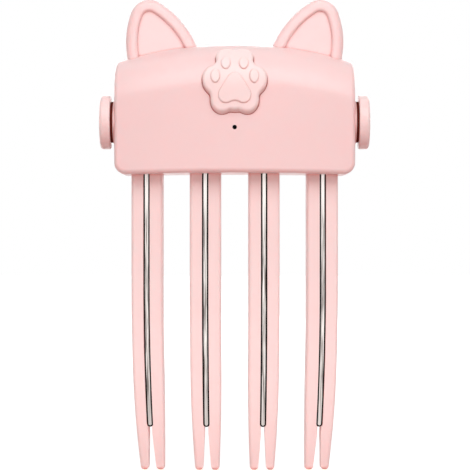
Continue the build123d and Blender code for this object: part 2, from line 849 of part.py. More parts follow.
# Battery cell on its foam pad against the rear cover
battery_back_plane = Plane.XZ.offset(wall + foam_thickness - back_y)
battery_middle_z = battery_bottom + battery_height / 2
with BuildPart() as battery_cell:
    with BuildSketch(battery_back_plane):
        with Locations((0, battery_middle_z)):
            Rectangle(battery_length, battery_height)
    extrude(amount=battery_thickness)
    fillet(battery_cell.edges().filter_by(Axis.X), battery_round)
save(battery_cell.part, "battery_cell")

with BuildPart() as battery_foam:
    with BuildSketch(battery_back_plane):
        with Locations((0, battery_middle_z)):
            Rectangle(battery_length - 2 * foam_margin, battery_height - 2 * foam_margin)
    extrude(amount=-foam_thickness)
save(battery_foam.part, "battery_foam")

# Charging port, its mouth just under the roof
with BuildPart() as usb_c_port:
    with BuildSketch(Plane.XY.offset(port_top)):
        with Locations((0, split_y)):
            SlotOverall(port_width, port_thickness)
    extrude(amount=-port_length)
    with BuildSketch(Plane.XY.offset(port_top)):
        with Locations((0, split_y)):
            SlotOverall(port_width - 2 * port_wall, port_thickness - 2 * port_wall)
    extrude(amount=-port_mouth_depth, mode=Mode.SUBTRACT)
    with BuildSketch(Plane.XY.offset(port_top - port_mouth_depth)):
        with Locations((0, split_y)):
            Rectangle(port_tongue_width, port_tongue_thickness)
    extrude(amount=port_tongue_length)
save(usb_c_port.part, "usb_c_port")

# Charging board behind the port
with BuildPart() as charge_board:
    with BuildSketch(Plane.XZ.offset(port_thickness / 2 - split_y)):
        with Locations((0, port_top - port_length + charge_board_height / 2)):
            Rectangle(charge_board_width, charge_board_height)
    extrude(amount=charge_board_thickness)
save(charge_board.part, "charge_board")

# Knobs with their bushes, washers and screws
bush_face = half_width + collar_height + bush_stand
bush_inner_end = bush_face - bush_length
shaft_end = bush_inner_end - end_play
hub_back = bush_face + end_play
knob_back = half_width + collar_height + knob_gap
knob_front = knob_back + knob_thickness
rim = knob_diameter / 2
shaft_radius = bush_bore / 2 - shaft_gap

for side_name, side in (("left", -1), ("right", 1)):
    outward = Plane(origin=(0, knob_y, knob_z), x_dir=(0, 1, 0), z_dir=(side, 0, 0))

    with BuildPart() as knob:
        with BuildSketch(knob_plane):
            with BuildLine():
                ThreePointArc(
                    (side * (knob_front - knob_crown), rim),
                    (side * (knob_front - knob_crown / 4), rim / 2),
                    (side * knob_front, 0),
                )
                Polyline(
                    (side * knob_front, 0),
                    (side * shaft_end, 0),
                    (side * shaft_end, shaft_radius),
                    (side * hub_back, shaft_radius),
                    (side * hub_back, hub_diameter / 2),
                    (side * knob_back, hub_diameter / 2),
                    (side * knob_back, rim),
                    (side * (knob_front - knob_crown), rim),
                )
            make_face()
        revolve(axis=knob_axis)
        circles = knob.edges().filter_by(GeomType.CIRCLE).filter_by(lambda edge: edge.is_closed)
        rims = circles.sort_by(SortBy.RADIUS)[-2:]
        face_rim, back_rim = sorted(rims, key=lambda edge: -side * edge.center().X)
        fillet(face_rim, knob_face_round)
        fillet(back_rim, knob_back_round)
        with BuildSketch(outward.offset(shaft_end)):
            Circle(screw_diameter / 2 + thread_gap)
        extrude(amount=knob_screw_length, mode=Mode.SUBTRACT)
    save(knob.part, f"{side_name}_knob")

    with BuildPart() as bush:
        with BuildSketch(outward.offset(bush_inner_end)):
            Circle(bush_outer / 2)
            Circle(bush_bore / 2, mode=Mode.SUBTRACT)
        extrude(amount=bush_length)
    save(bush.part, f"{side_name}_bush")

    with BuildPart() as washer:
        with BuildSketch(outward.offset(shaft_end)):
            Circle(washer_diameter / 2)
            Circle(screw_diameter / 2 + screw_gap, mode=Mode.SUBTRACT)
        extrude(amount=-washer_thickness)
    save(washer.part, f"{side_name}_washer")

    head_x = side * (shaft_end - washer_thickness)
    head_plane = Plane(origin=(head_x, knob_y, knob_z), x_dir=(0, 1, 0), z_dir=(-side, 0, 0))
    save_screws(head_plane, [(0, 0)], knob_screw_length, f"{side_name}_knob_screw")
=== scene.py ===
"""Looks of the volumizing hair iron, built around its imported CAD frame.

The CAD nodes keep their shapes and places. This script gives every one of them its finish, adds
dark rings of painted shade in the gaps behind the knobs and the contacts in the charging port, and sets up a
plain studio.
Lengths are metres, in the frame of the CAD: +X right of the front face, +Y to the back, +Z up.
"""

import logging
import math
from dataclasses import dataclass, field
from enum import Enum

import bpy
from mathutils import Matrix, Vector


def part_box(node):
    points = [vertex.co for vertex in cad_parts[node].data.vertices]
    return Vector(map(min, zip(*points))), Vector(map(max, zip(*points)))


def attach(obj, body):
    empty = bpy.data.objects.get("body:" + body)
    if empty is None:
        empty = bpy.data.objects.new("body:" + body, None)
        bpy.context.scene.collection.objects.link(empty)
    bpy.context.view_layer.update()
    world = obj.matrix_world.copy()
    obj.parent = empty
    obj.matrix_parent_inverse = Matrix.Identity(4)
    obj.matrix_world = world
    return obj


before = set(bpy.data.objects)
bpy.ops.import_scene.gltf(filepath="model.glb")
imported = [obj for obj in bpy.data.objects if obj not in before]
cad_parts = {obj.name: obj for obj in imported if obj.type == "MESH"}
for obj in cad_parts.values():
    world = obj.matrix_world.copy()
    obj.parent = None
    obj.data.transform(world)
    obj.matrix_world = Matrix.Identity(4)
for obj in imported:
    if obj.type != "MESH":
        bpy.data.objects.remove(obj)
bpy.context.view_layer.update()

LOG = logging.getLogger("hair_iron")
MM = 0.001
SMOOTH_ANGLE = math.radians(40)
SOFT_EDGE_SEGMENTS = 2
Rgb = tuple[float, float, float]
BLACK: Rgb = (0.0, 0.0, 0.0)
WHITE: Rgb = (1.0, 1.0, 1.0)


def srgb(red: int, green: int, blue: int) -> Rgb:
    """Turn a colour of three bytes into linear light.

    Args:
        red: red channel, 0 to 255.
        green: green channel, 0 to 255.
        blue: blue channel, 0 to 255.

    Returns:
        The same colour as three linear values.
    """
    def linear(value: int) -> float:
        """One channel in linear light."""
        share = value / 255
        return share / 12.92 if share <= 0.04045 else ((share + 0.055) / 1.055) ** 2.4

    return linear(red), linear(green), linear(blue)


class Axis(Enum):
    """The direction across the fine lines of a metal."""

    X = 0
    Y = 1
    Z = 2


class NodeBench:
    """Places shader nodes in a tree and joins them."""

    NOISE_ROUGHNESS = 0.55

    def __init__(self, tree: bpy.types.NodeTree) -> None:
        """Start on an empty tree.

        Args:
            tree: node tree of a material, a world or a group.
        """
        self.tree = tree
        self.tree.nodes.clear()

    def add(self, kind: str, **settings: object) -> bpy.types.Node:
        """Add a node.

        Args:
            kind: Blender's name of the node type.
            settings: properties of the node to set.

        Returns:
            The new node.
        """
        node = self.tree.nodes.new(kind)
        for name, value in settings.items():
            setattr(node, name, value)
        return node

    def join(self, source: bpy.types.NodeSocket, target: bpy.types.NodeSocket) -> None:
        """Join an output to an input."""
        self.tree.links.new(source, target)

    def feed(self, node: bpy.types.Node, **values: object) -> bpy.types.Node:
        """Set or join inputs by name, with underscores for spaces.

        Args:
            node: the node whose inputs are fed.
            values: a plain value, or an output socket to join.

        Returns:
            The same node.
        """
        for name, value in values.items():
            socket = node.inputs[name.replace("_", " ")]
            if isinstance(value, bpy.types.NodeSocket):
                self.join(value, socket)
            else:
                socket.default_value = value
        return node

    def noise(
        self, coordinates: bpy.types.NodeSocket, scale: float, detail: float = 3.0
    ) -> bpy.types.NodeSocket:
        """Add a noise pattern.

        Args:
            coordinates: where the pattern is read.
            scale: cells per metre.
            detail: octaves of the noise.

        Returns:
            The socket with values from 0 to 1.
        """
        node = self.add("ShaderNodeTexNoise")
        self.feed(node, Vector=coordinates, Scale=scale, Detail=detail, Roughness=self.NOISE_ROUGHNESS)
        return node.outputs["Fac"]

    def spread(
        self, value: bpy.types.NodeSocket, low: float, high: float, start: float = 0.3, stop: float = 0.7
    ) -> bpy.types.NodeSocket:
        """Map a pattern onto a range.

        Args:
            value: pattern to map.
            low: result where the pattern is at start.
            high: result where the pattern is at stop.
            start: lowest value of the pattern.
            stop: highest value of the pattern.

        Returns:
            The mapped socket.
        """
        node = self.add("ShaderNodeMapRange", interpolation_type="SMOOTHSTEP")
        self.feed(node, Value=value, From_Min=start, From_Max=stop, To_Min=low, To_Max=high)
        return node.outputs["Result"]

    def maths(self, operation: str, first: object, second: object) -> bpy.types.NodeSocket:
        """Add a math node.

        Args:
            operation: Blender's name of the operation.
            first: first number or socket.
            second: second number or socket.

        Returns:
            The result socket.
        """
        node = self.add("ShaderNodeMath", operation=operation)
        for socket, value in zip(node.inputs, (first, second)):
            if isinstance(value, bpy.types.NodeSocket):
                self.join(value, socket)
            else:
                socket.default_value = value
        return node.outputs["Value"]

    def mix(
        self, share: object, first: object, second: object, blend: str = "MIX"
    ) -> bpy.types.NodeSocket:
        """Mix two colours.

        Args:
            share: share of the second colour, 0 to 1.
            first: first colour or socket.
            second: second colour or socket.
            blend: Blender's name of the blend type.

        Returns:
            The mixed colour socket.
        """
        node = self.add("ShaderNodeMix", data_type="RGBA", blend_type=blend)
        for index, value in ((0, share), (6, first), (7, second)):
            socket = node.inputs[index]
            if isinstance(value, bpy.types.NodeSocket):
                self.join(value, socket)
            else:
                socket.default_value = (*value, 1.0) if isinstance(value, tuple) else value
        return node.outputs[2]


class EffectGroups:
    """The shader node groups that several finishes share, each built once.

    Scales are cells per metre. A range is the low and high end of what a pattern is mapped from or to.
    """

    FLOW_SCALE = 55.0
    HAZE_SCALE, HAZE_DETAIL = 210.0, 4.0
    HAZE_ROUGHNESS = (-0.035, 0.05)
    GRAIN_SCALE, GRAIN_DETAIL = 3200.0, 2.0
    CREASE_SAMPLES = 10
    OPEN_AIR_RANGE = (0.15, 0.95)
    LINE_SCALE, LINE_DETAIL = 2600.0, 4.0
    LINE_ROUGHNESS = (-0.08, 0.1)
    STREAK_RANGE = (0.38, 0.64)
    FILM_SCALE = 90.0
    FILM_SHARE = (0.72, 1.0)

    def __init__(self) -> None:
        """Start with no group built."""
        self.made: dict[str, bpy.types.NodeTree] = {}

    def _open(
        self, name: str, inputs: dict[str, tuple[str, object]], outputs: dict[str, str]
    ) -> NodeBench:
        """Make an empty group with its sockets.

        Args:
            name: name of the group.
            inputs: socket type and default of each input.
            outputs: socket type of each output.

        Returns:
            A bench on the new group.
        """
        tree = bpy.data.node_groups.new(name, "ShaderNodeTree")
        for label, (kind, default) in inputs.items():
            socket = tree.interface.new_socket(label, in_out="INPUT", socket_type=kind)
            socket.default_value = default
        for label, kind in outputs.items():
            tree.interface.new_socket(label, in_out="OUTPUT", socket_type=kind)
        self.made[name] = tree
        return NodeBench(tree)

    def skin_and_painted_shade(self) -> bpy.types.NodeTree:
        """Skin of a moulded plastic: faint flow marks, painted shade that deepens the colour in corners,
        seams and gaps, and a fine grain.

        The glow output is a painted glow: the shade colour emitted in narrow gaps, standing in for the light
        that slightly translucent plastic passes on into them.

        Returns:
            The group, with the outputs Colour, Roughness, Height and the painted glow.
        """
        if "skin_and_painted_shade" in self.made:
            return self.made["skin_and_painted_shade"]
        bench = self._open(
            "skin_and_painted_shade",
            {
                "Colour": ("NodeSocketColor", (0.8, 0.8, 0.8, 1)),
                "Crease": ("NodeSocketColor", (0.4, 0.4, 0.4, 1)),
                "Reach": ("NodeSocketFloat", 0.004),
                "Flow": ("NodeSocketFloat", 0.03),
                "Roughness": ("NodeSocketFloat", 0.4),
            },
            {
                "Colour": "NodeSocketColor",
                "Roughness": "NodeSocketFloat",
                "Height": "NodeSocketFloat",
                "Warmth": "NodeSocketColor",
            },
        )
        entry = bench.add("NodeGroupInput")
        place = bench.add("ShaderNodeTexCoord").outputs["Object"]
        flow = bench.noise(place, self.FLOW_SCALE)
        fade = bench.maths("SUBTRACT", 1.0, bench.maths("MULTIPLY", flow, entry.outputs["Flow"]))
        shade = bench.add("ShaderNodeCombineColor")
        for label in ("Red", "Green", "Blue"):
            bench.join(fade, shade.inputs[label])
        base = bench.mix(1.0, entry.outputs["Colour"], shade.outputs["Color"], "MULTIPLY")
        # Painted shade: where ambient occlusion finds nearby surfaces, the shade colour replaces the base
        # colour, and the same mask sets the painted glow.
        contact = bench.add("ShaderNodeAmbientOcclusion", samples=self.CREASE_SAMPLES)
        bench.feed(contact, Distance=entry.outputs["Reach"])
        open_air = bench.spread(contact.outputs["AO"], 0.0, 1.0, *self.OPEN_AIR_RANGE)
        colour = bench.mix(open_air, entry.outputs["Crease"], base)
        painted_glow = bench.mix(open_air, entry.outputs["Crease"], BLACK)
        haze = bench.spread(bench.noise(place, self.HAZE_SCALE, self.HAZE_DETAIL), *self.HAZE_ROUGHNESS)
        roughness = bench.maths("ADD", entry.outputs["Roughness"], haze)
        leave = bench.add("NodeGroupOutput")
        grain = bench.noise(place, self.GRAIN_SCALE, self.GRAIN_DETAIL)
        bench.feed(leave, Colour=colour, Roughness=roughness, Height=grain, Warmth=painted_glow)
        return self.made["skin_and_painted_shade"]

    def drawn_metal(self) -> bpy.types.NodeTree:
        """Surface of a drawn or rolled metal: fine lines along one axis and a dull film.

        Returns:
            The group, with the outputs Colour, Roughness and Height.
        """
        if "drawn_metal" in self.made:
            return self.made["drawn_metal"]
        bench = self._open(
            "drawn_metal",
            {
                "Colour": ("NodeSocketColor", (0.8, 0.8, 0.8, 1)),
                "Film": ("NodeSocketColor", (0.5, 0.5, 0.5, 1)),
                "Stretch": ("NodeSocketVector", (1.0, 1.0, 1.0)),
                "Share": ("NodeSocketFloat", 0.5),
                "Roughness": ("NodeSocketFloat", 0.3),
            },
            {"Colour": "NodeSocketColor", "Roughness": "NodeSocketFloat", "Height": "NodeSocketFloat"},
        )
        entry = bench.add("NodeGroupInput")
        place = bench.add("ShaderNodeTexCoord").outputs["Object"]
        stretched = bench.add("ShaderNodeVectorMath", operation="MULTIPLY")
        bench.join(place, stretched.inputs[0])
        bench.join(entry.outputs["Stretch"], stretched.inputs[1])
        lines = bench.noise(stretched.outputs["Vector"], self.LINE_SCALE, self.LINE_DETAIL)
        film = bench.spread(bench.noise(place, self.FILM_SCALE), *self.FILM_SHARE)
        streaks = bench.maths("MULTIPLY", film, bench.spread(lines, 1.0, 0.0, *self.STREAK_RANGE))
        # The share can carry a band of painted shade, so the film here is partly real dull film and partly
        # painted shade.
        worn_and_shaded = bench.maths("MULTIPLY", streaks, entry.outputs["Share"])
        colour = bench.mix(worn_and_shaded, entry.outputs["Colour"], entry.outputs["Film"])
        roughness = bench.maths("ADD", entry.outputs["Roughness"], bench.spread(lines, *self.LINE_ROUGHNESS))
        leave = bench.add("NodeGroupOutput")
        bench.feed(leave, Colour=colour, Roughness=roughness, Height=lines)
        return self.made["drawn_metal"]


EFFECTS = EffectGroups()


def new_material(name: str) -> tuple[bpy.types.Material, NodeBench, bpy.types.Node]:
    """Start a material with an empty tree, an output and a Principled shader.

    Args:
        name: name of the material.

    Returns:
        The material, the bench on its tree and the shader node.
    """
    material = bpy.data.materials.new(name)
    material.use_nodes = True
    bench = NodeBench(material.node_tree)
    shader = bench.add("ShaderNodeBsdfPrincipled")
    leave = bench.add("ShaderNodeOutputMaterial")
    bench.join(shader.outputs["BSDF"], leave.inputs["Surface"])
    return material, bench, shader


def add_bump(
    bench: NodeBench, shader: bpy.types.Node, height: bpy.types.NodeSocket, depth: float
) -> None:
    """Feed a height into the normal of a shader.

    Args:
        bench: bench of the material.
        shader: shader that gets the normal.
        height: pattern from 0 to 1.
        depth: depth of the pattern in metres.
    """
    bump = bench.add("ShaderNodeBump")
    bench.feed(bump, Strength=1.0, Distance=depth, Height=height)
    bench.join(bump.outputs["Normal"], shader.inputs["Normal"])


@dataclass(frozen=True)
class MouldedPlastic:
    """A moulded plastic finish.

    Reach is how far the painted shade in corners and gaps reaches, glow the share of light that scatters
    under the skin, and the gap glow strength how strongly that shade colour is emitted as a painted glow in
    narrow gaps.
    """

    name: str
    colour: Rgb
    crease_shade: Rgb
    reach: float = 4 * MM
    flow: float = 0.05
    roughness: float = 0.4
    glow: float = 0.0
    coat: float = 0.0
    coat_roughness: float = 0.22
    scatter: Rgb = (1.0, 0.38, 0.34)
    glow_reach: float = 0.7 * MM
    gap_painted_glow: float = 0.0
    specular: float = 0.5
    grain: float = 0.004 * MM

    def make(self) -> bpy.types.Material:
        """Build the material.

        Returns:
            The new material.
        """
        material, bench, shader = new_material(self.name)
        skin = bench.add("ShaderNodeGroup")
        skin.node_tree = EFFECTS.skin_and_painted_shade()
        bench.feed(
            skin, Colour=(*self.colour, 1), Crease=(*self.crease_shade, 1), Reach=self.reach,
            Flow=self.flow, Roughness=self.roughness,
        )
        bench.join(skin.outputs["Colour"], shader.inputs["Base Color"])
        bench.join(skin.outputs["Roughness"], shader.inputs["Roughness"])
        bench.feed(
            shader, Subsurface_Weight=self.glow, Subsurface_Scale=self.glow_reach, Coat_Weight=self.coat,
            Subsurface_Radius=self.scatter, Coat_Roughness=self.coat_roughness,
            Specular_IOR_Level=self.specular,
        )
        # Painted glow: the shade colour is emitted in narrow gaps, standing in for light that reaches into
        # them.
        if self.gap_painted_glow > 0:
            bench.join(skin.outputs["Warmth"], shader.inputs["Emission Color"])
            shader.inputs["Emission Strength"].default_value = self.gap_painted_glow
        add_bump(bench, shader, skin.outputs["Height"], self.grain)
        return material


@dataclass(frozen=True)
class DrawnMetal:
    """A drawn, rolled or turned metal finish.

    Film is the colour of its dull areas. A band of heights, where given, is where that film is strongest:
    painted shade that darkens the middle heights of a part.
    """

    name: str
    colour: Rgb
    film: Rgb
    across: Axis = Axis.X
    roughness: float = 0.3
    metallic: float = 1.0
    film_share: float = 0.5
    painted_shade_band: tuple[float, float] | None = None
    band_edge: float = 14 * MM
    film_below: float = 0.25
    film_above: float = 0.1
    line_stretch: float = 0.03
    depth: float = 0.003 * MM

    def share(self, bench: NodeBench) -> object:
        """Share of the film: all over, or mostly inside the band of painted shade.

        Args:
            bench: bench of the material.

        Returns:
            A number, or a socket that changes with height.
        """
        if self.painted_shade_band is None:
            return self.film_share
        low, high = self.painted_shade_band
        parts = bench.add("ShaderNodeSeparateXYZ")
        bench.join(bench.add("ShaderNodeTexCoord").outputs["Object"], parts.inputs["Vector"])
        rise = bench.spread(parts.outputs["Z"], self.film_below, 1.0, low - self.band_edge, low)
        fall = bench.spread(parts.outputs["Z"], 1.0, self.film_above, high, high + self.band_edge)
        return bench.maths("MULTIPLY", bench.maths("MULTIPLY", rise, fall), self.film_share)

    def make(self) -> bpy.types.Material:
        """Build the material.

        Returns:
            The new material.
        """
        material, bench, shader = new_material(self.name)
        metal = bench.add("ShaderNodeGroup")
        metal.node_tree = EFFECTS.drawn_metal()
        stretch = [self.line_stretch] * len(Axis)
        stretch[self.across.value] = 1.0
        bench.feed(
            metal, Colour=(*self.colour, 1), Film=(*self.film, 1), Stretch=tuple(stretch),
            Share=self.share(bench), Roughness=self.roughness,
        )
        bench.join(metal.outputs["Colour"], shader.inputs["Base Color"])
        bench.join(metal.outputs["Roughness"], shader.inputs["Roughness"])
        shader.inputs["Metallic"].default_value = self.metallic
        add_bump(bench, shader, metal.outputs["Height"], self.depth)
        return material


PINK = srgb(243, 212, 211)
# Painted light: the paw and the knobs take lighter copies of the shell pink, standing in for the stronger
# light and highlights they catch.
LIT_CAP_PINK = srgb(249, 225, 223)
# Painted shade: the colour mixed into corners, seams and gaps of the shell and the paw, and emitted there as
# a painted glow.
PAINTED_SHADE_PINK = srgb(184, 98, 86)
TOOTH_PINK = srgb(252, 226, 224)
LIT_KNOB_PINK = srgb(246, 219, 217)

# Each plastic below mixes its shade colour into corners, seams and gaps as painted shade; a gap glow above
# zero also emits it there as a painted glow.
FINISHES: dict[str, MouldedPlastic | DrawnMetal] = {
    "shell": MouldedPlastic(
        "satin_pink_shell", colour=PINK, crease_shade=PAINTED_SHADE_PINK, reach=1.1 * MM, flow=0.03,
        roughness=0.32, glow=0.35, coat=0.12, specular=0.5, gap_painted_glow=0.24,
    ),
    "cap": MouldedPlastic(
        "satin_pink_cap", colour=LIT_CAP_PINK, crease_shade=PAINTED_SHADE_PINK, reach=1.9 * MM, flow=0.02,
        roughness=0.32, glow=0.35, coat=0.08, specular=0.4, gap_painted_glow=0.26,
    ),
    # Painted shade: the teeth's reddish shade colour paints the contact shadow under the housing.
    "tooth": MouldedPlastic(
        "satin_pink_tooth", colour=TOOTH_PINK, crease_shade=srgb(228, 156, 146), reach=1.6 * MM,
        flow=0.03, roughness=0.42, glow=0.2, specular=0.3, gap_painted_glow=0.1,
    ),
    # Painted shade: the knobs' dark red-brown shade colour paints their shaded back faces in the gaps behind
    # them.
    "knob": MouldedPlastic(
        "gloss_pink_knob", colour=LIT_KNOB_PINK, crease_shade=srgb(164, 78, 66), reach=1.4 * MM, flow=0.02,
        roughness=0.28, glow=0.3, coat=0.08, specular=0.3, gap_painted_glow=0.2,
    ),
    # Painted shade: the liners' near-black colour also stands for the shade in the narrow slots beside the
    # strips.
    "liner": MouldedPlastic(
        "black_liner_and_slot_shade", colour=srgb(9, 7, 7), crease_shade=srgb(5, 4, 4), reach=1 * MM, flow=0.2,
        roughness=0.55, specular=0.05,
    ),
    "carrier": MouldedPlastic(
        "black_carrier", colour=srgb(52, 50, 50), crease_shade=srgb(20, 20, 20), reach=2 * MM, flow=0.2,
        roughness=0.55,
    ),
    "switch": MouldedPlastic(
        "black_switch", colour=srgb(34, 34, 36), crease_shade=srgb(12, 12, 12), reach=1 * MM, flow=0.2,
        roughness=0.4,
    ),
    # Painted shade: the bushes' dark red-brown stands for the shade in the gap behind each knob.
    "bush": MouldedPlastic(
        "acetal_bush_painted_shade", colour=srgb(140, 70, 60), crease_shade=srgb(70, 30, 26), reach=2 * MM, flow=0.1,
        roughness=0.5, specular=0.2,
    ),
    "light_pipe": MouldedPlastic(
        "smoked_light_pipe", colour=srgb(5, 4, 5), crease_shade=srgb(2, 2, 2), reach=1 * MM, flow=0.1,
        roughness=0.6, specular=0.02,
    ),
    "led": MouldedPlastic(
        "led_lens", colour=srgb(240, 240, 225), crease_shade=srgb(160, 160, 140), reach=1 * MM, flow=0.1,
        roughness=0.2, glow=0.2,
    ),
    "board": MouldedPlastic(
        "green_board", colour=srgb(28, 92, 54), crease_shade=srgb(12, 44, 24), reach=1 * MM, flow=0.3,
        roughness=0.35,
    ),
    "cell": MouldedPlastic(
        "blue_cell_wrap", colour=srgb(60, 92, 150), crease_shade=srgb(24, 40, 80), reach=2 * MM,
        flow=0.15, roughness=0.3,
    ),
    # Painted shade: the dark rings behind the knobs stand for the shade in those gaps, with a painted glow.
    "gap_shade": MouldedPlastic(
        "dark_gap_shade", colour=srgb(112, 52, 44), crease_shade=srgb(84, 30, 24), reach=1 * MM, flow=0.3,
        roughness=0.95, specular=0.05, grain=0.05 * MM, gap_painted_glow=0.25,
    ),
    "foam": MouldedPlastic(
        "grey_foam", colour=srgb(58, 58, 60), crease_shade=srgb(24, 24, 24), reach=1 * MM, flow=0.4,
        roughness=0.9, grain=0.06 * MM,
    ),
    "insulation": MouldedPlastic(
        "glass_fibre_sheet", colour=srgb(226, 216, 190), crease_shade=srgb(150, 138, 110), reach=1 * MM,
        flow=0.2, roughness=0.8, grain=0.05 * MM,
    ),
    # Painted shade: the strips' dark film is strongest through their middle heights, standing in for the
    # dimmer reflection along the middle of the curved strips.
    "strip": DrawnMetal(
        "drawn_strip", colour=srgb(206, 201, 197), film=srgb(78, 68, 64), across=Axis.X,
        roughness=0.4, film_share=0.95, painted_shade_band=(28 * MM, 76 * MM),
    ),
    "spreader": DrawnMetal(
        "milled_spreader", colour=srgb(214, 214, 214), film=srgb(150, 150, 150), across=Axis.Y,
        roughness=0.35,
    ),
    "heater": DrawnMetal(
        "heater_wrap", colour=srgb(206, 196, 176), film=srgb(150, 136, 110), across=Axis.Y,
        roughness=0.45, metallic=0.6,
    ),
    "fuse": DrawnMetal(
        "fuse_can", colour=srgb(216, 216, 218), film=srgb(150, 150, 155), across=Axis.Y,
        roughness=0.3,
    ),
    "steel": DrawnMetal(
        "plated_steel", colour=srgb(200, 200, 204), film=srgb(140, 140, 146), across=Axis.X,
        roughness=0.28,
    ),
    # Painted shade: the washers and knob screws are darkened to a red-brown that stands for the shade in the
    # gap behind each knob.
    "washer": DrawnMetal(
        "dark_steel_painted_shade", colour=srgb(64, 44, 40), film=srgb(36, 24, 22), across=Axis.Z,
        roughness=0.5, metallic=0.7,
    ),
    "port": DrawnMetal(
        "stamped_port", colour=srgb(206, 206, 208), film=srgb(150, 150, 152), across=Axis.X,
        roughness=0.25,
    ),
    "contact": DrawnMetal(
        "gold_contact", colour=srgb(222, 184, 112), film=srgb(170, 132, 70), across=Axis.X,
        roughness=0.22,
    ),
}


@dataclass
class FinishShelf:
    """Builds each finish when it is first asked for."""

    made: dict[str, bpy.types.Material] = field(default_factory=dict)

    def get(self, finish: str) -> bpy.types.Material:
        """Give a material.

        Args:
            finish: key of the finish.

        Returns:
            The built material.
        """
        if finish not in self.made:
            self.made[finish] = FINISHES[finish].make()
        return self.made[finish]

    def dress(self, finish: str, *nodes: str) -> None:
        """Give CAD nodes a finish.

        Args:
            finish: key of the finish.
            nodes: names of the CAD nodes.
        """
        material = self.get(finish)
        for name in nodes:
            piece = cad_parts[name]
            piece.data.materials.clear()
            piece.data.materials.append(material)
            LOG.info("%s: %s", name, material.name)


SHELF = FinishShelf()


@dataclass
class Housing:
    """The front shell with the ears, the rear cover and its screws."""

    def dress(self) -> None:
        """Give the shells and screws their finishes."""
        SHELF.dress("shell", "front_shell", "rear_cover")
        SHELF.dress("steel", "cover_screws")


@dataclass
class PawSwitch:
    """The paw button with the switch, board and light behind it."""

    def dress(self) -> None:
        """Give the paw and the electronics their finishes."""
        SHELF.dress("cap", "paw_button")
        SHELF.dress("switch", "tact_switch", "switch_plunger")
        SHELF.dress("board", "control_board")
        SHELF.dress("steel", "board_screws")
        SHELF.dress("led", "status_led")
        SHELF.dress("light_pipe", "light_pipe")


@dataclass
class Teeth:
    """The four forked teeth with their strips and liners."""

    count: int = 4

    def dress(self) -> None:
        """Give the teeth, strips and liners their finishes."""
        for index in range(1, self.count + 1):
            SHELF.dress("tooth", f"fork_{index}")
            SHELF.dress("strip", f"heating_strip_{index}")
            # The liners' black is partly painted shade of the slots.
            SHELF.dress("liner", f"strip_liner_{index}")


@dataclass
class HeatTrain:
    """The carrier, the heat spreader and what heats it."""

    def dress(self) -> None:
        """Give the heat train its finishes."""
        SHELF.dress("carrier", "fork_carrier")
        SHELF.dress("spreader", "heat_spreader")
        SHELF.dress("heater", "ptc_heater")
        SHELF.dress("fuse", "thermal_fuse")
        SHELF.dress("insulation", "insulation_sheet")
        SHELF.dress("steel", "carrier_screws")


@dataclass
class PaintedShadeRing:
    """A dark ring of painted shade that fills the gap between a knob and the collar of the housing."""

    outer_radius: float = 6.6 * MM
    inner_radius: float = 4.6 * MM
    thickness: float = 0.66 * MM
    knob_depth: float = 3.7 * MM
    clearance: float = 0.07 * MM
    edge_round: float = 0.12 * MM
    sides: int = 64

    def build(self, side: str) -> bpy.types.Object:
        """Model the ring behind one knob.

        Args:
            side: "left" or "right".

        Returns:
            The ring, riding with its knob.
        """
        low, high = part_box(f"{side}_knob")
        sign = -1.0 if side == "left" else 1.0
        face = max(abs(low[0]), abs(high[0])) - self.knob_depth - self.clearance
        bpy.ops.object.select_all(action="DESELECT")
        bpy.ops.mesh.primitive_circle_add(
            vertices=self.sides, radius=self.outer_radius, fill_type="NGON",
            location=(sign * face, (low[1] + high[1]) / 2, (low[2] + high[2]) / 2),
            rotation=(0.0, math.radians(90), 0.0),
        )
        ring = bpy.context.object
        ring.name = f"{side}_gap_shade_ring"
        ring.data.name = ring.name
        bpy.ops.object.transform_apply(location=True, rotation=True, scale=True)
        bpy.ops.object.mode_set(mode="EDIT")
        bpy.ops.mesh.select_all(action="SELECT")
        bpy.ops.mesh.inset(thickness=self.outer_radius - self.inner_radius)
        bpy.ops.mesh.delete(type="FACE")
        bpy.ops.mesh.select_all(action="SELECT")
        bpy.ops.mesh.extrude_region_move(
            TRANSFORM_OT_translate={"value": (-sign * self.thickness, 0.0, 0.0)}
        )
        bpy.ops.mesh.select_all(action="SELECT")
        bpy.ops.mesh.normals_make_consistent(inside=False)
        bpy.ops.object.mode_set(mode="OBJECT")
        soft = ring.modifiers.new("soft_edge", "BEVEL")
        soft.width = self.edge_round
        soft.segments = SOFT_EDGE_SEGMENTS
        soft.limit_method = "ANGLE"
        bpy.ops.object.modifier_apply(modifier=soft.name)
        bpy.ops.object.shade_smooth_by_angle(angle=SMOOTH_ANGLE)
        ring.data.materials.append(SHELF.get("gap_shade"))
        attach(ring, f"{side}_dial")
        LOG.info("%s: %d faces", ring.name, len(ring.data.polygons))
        return ring


@dataclass
class EndKnobs:
    """The two knobs with their bushes, washers and screws."""

    sides: tuple[str, str] = ("left", "right")
    ring: PaintedShadeRing = field(default_factory=PaintedShadeRing)

    def dress(self) -> None:
        """Give the knobs and what carries them their finishes."""
        for side in self.sides:
            SHELF.dress("knob", f"{side}_knob")
            SHELF.dress("bush", f"{side}_bush")
            SHELF.dress("washer", f"{side}_washer", f"{side}_knob_screw")
            self.ring.build(side)


